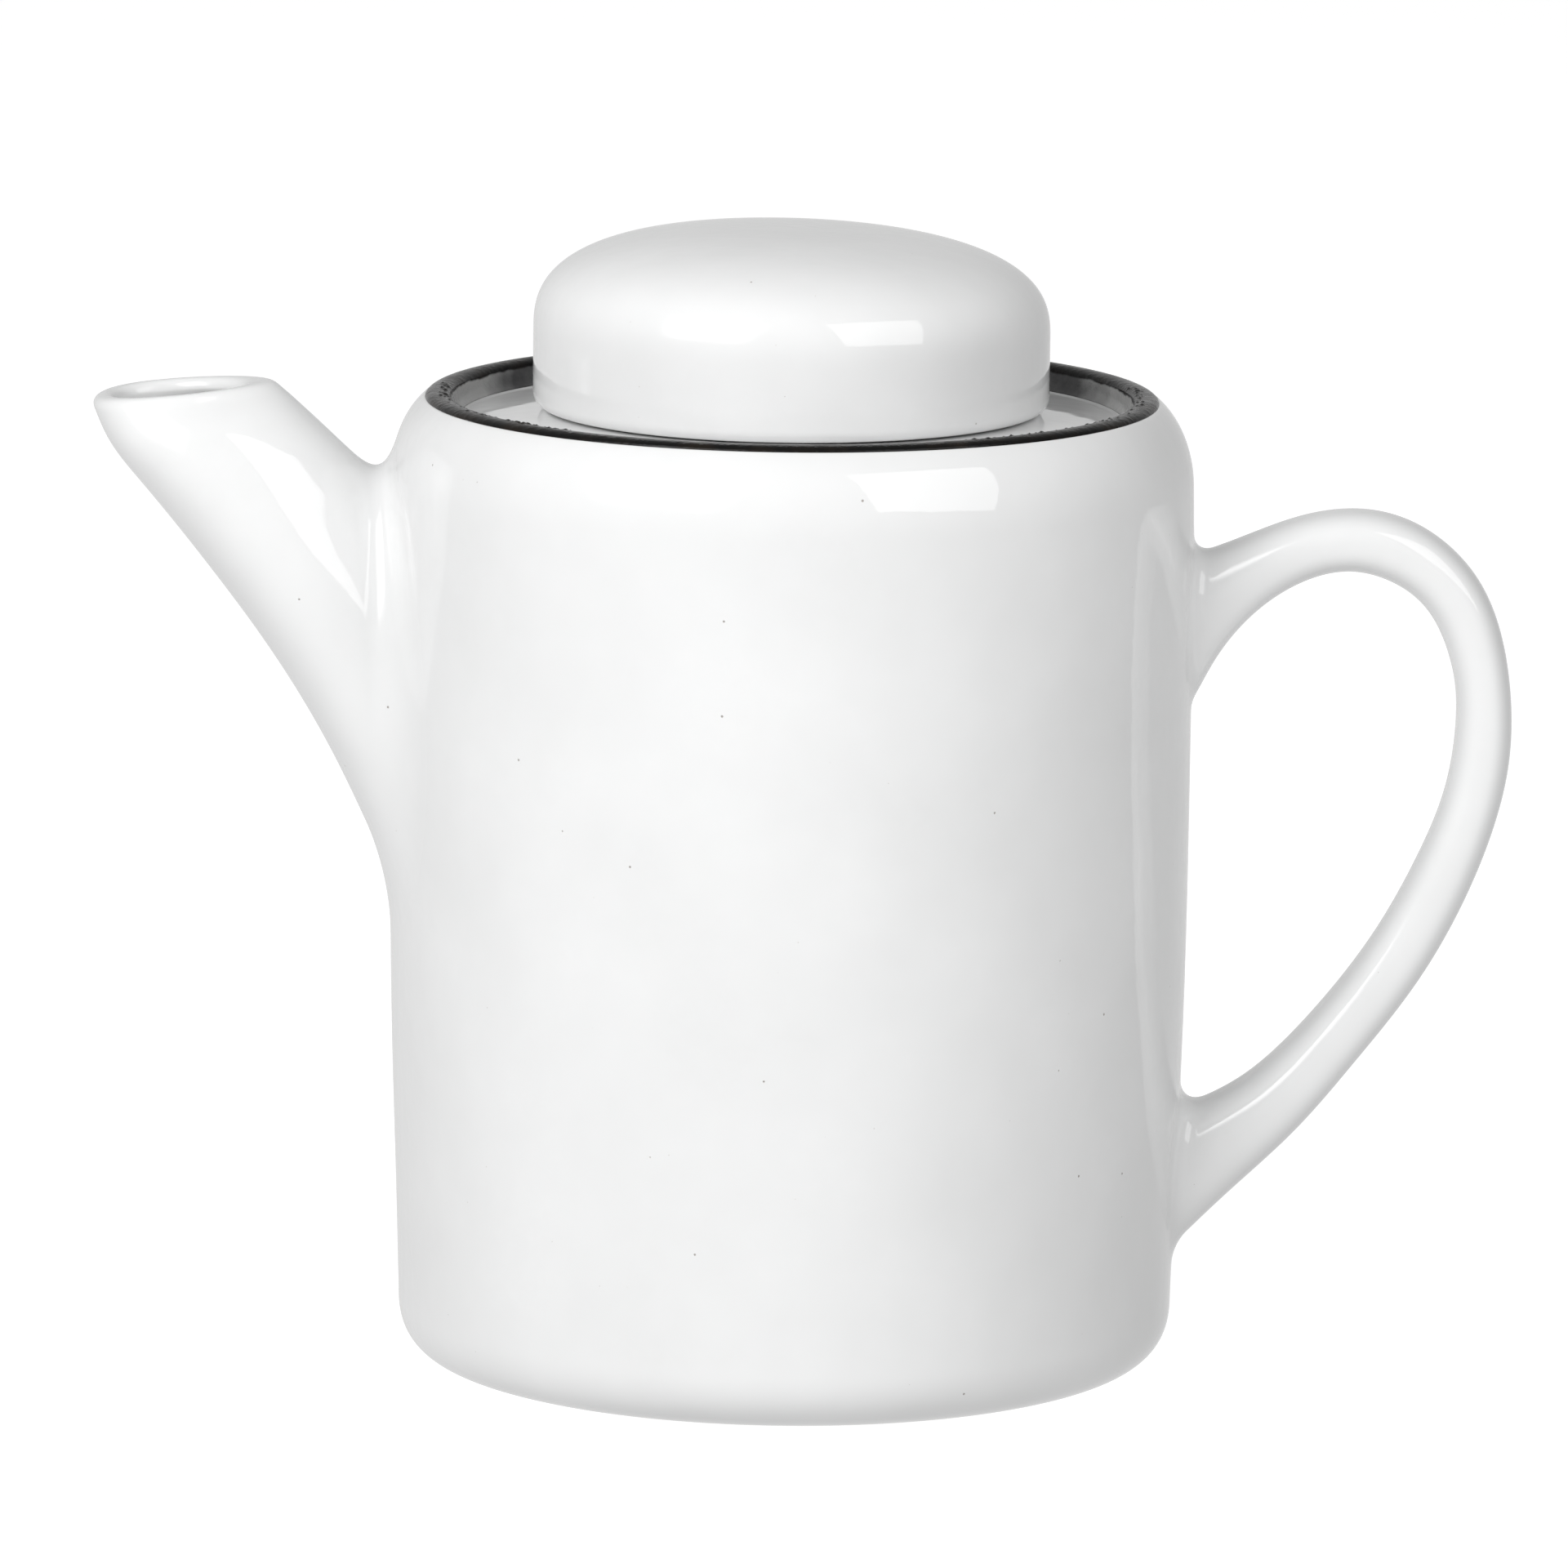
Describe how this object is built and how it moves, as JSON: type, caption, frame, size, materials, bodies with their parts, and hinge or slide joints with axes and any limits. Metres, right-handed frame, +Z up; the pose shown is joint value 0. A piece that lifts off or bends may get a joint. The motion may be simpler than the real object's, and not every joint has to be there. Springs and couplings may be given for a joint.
{
  "type": "coffee pot",
  "caption": "Straight-sided glazed coffee pot with a raised open spout, a tall loop handle, a black rim and a deep domed lid without a knob that lifts straight out.",
  "frame": {"origin": "centre of the foot ring, on the plane the pot stands on", "axes": "+Z up along the pot's axis, -X towards the spout, +X towards the handle"},
  "size_m": [0.2128, 0.12, 0.1718],
  "materials": {
    "white_glaze": "glossy white glaze",
    "black_glaze": "satin black glaze",
    "bare_clay": "unglazed, ground flat"
  },
  "bodies": {
    "pot": {"pot_body": "white_glaze", "foot_ring": "bare_clay", "rim_band": "black_glaze", "spout": "white_glaze", "handle": "white_glaze"},
    "lid": {"lid_dome": "white_glaze", "lid_collar": "white_glaze"}
  },
  "joints": [
    {"name": "lid_lift", "type": "slide", "parent": "pot", "child": "lid", "axis": [0, 0, 1], "range_m": [0, 0.12]}
  ]
}
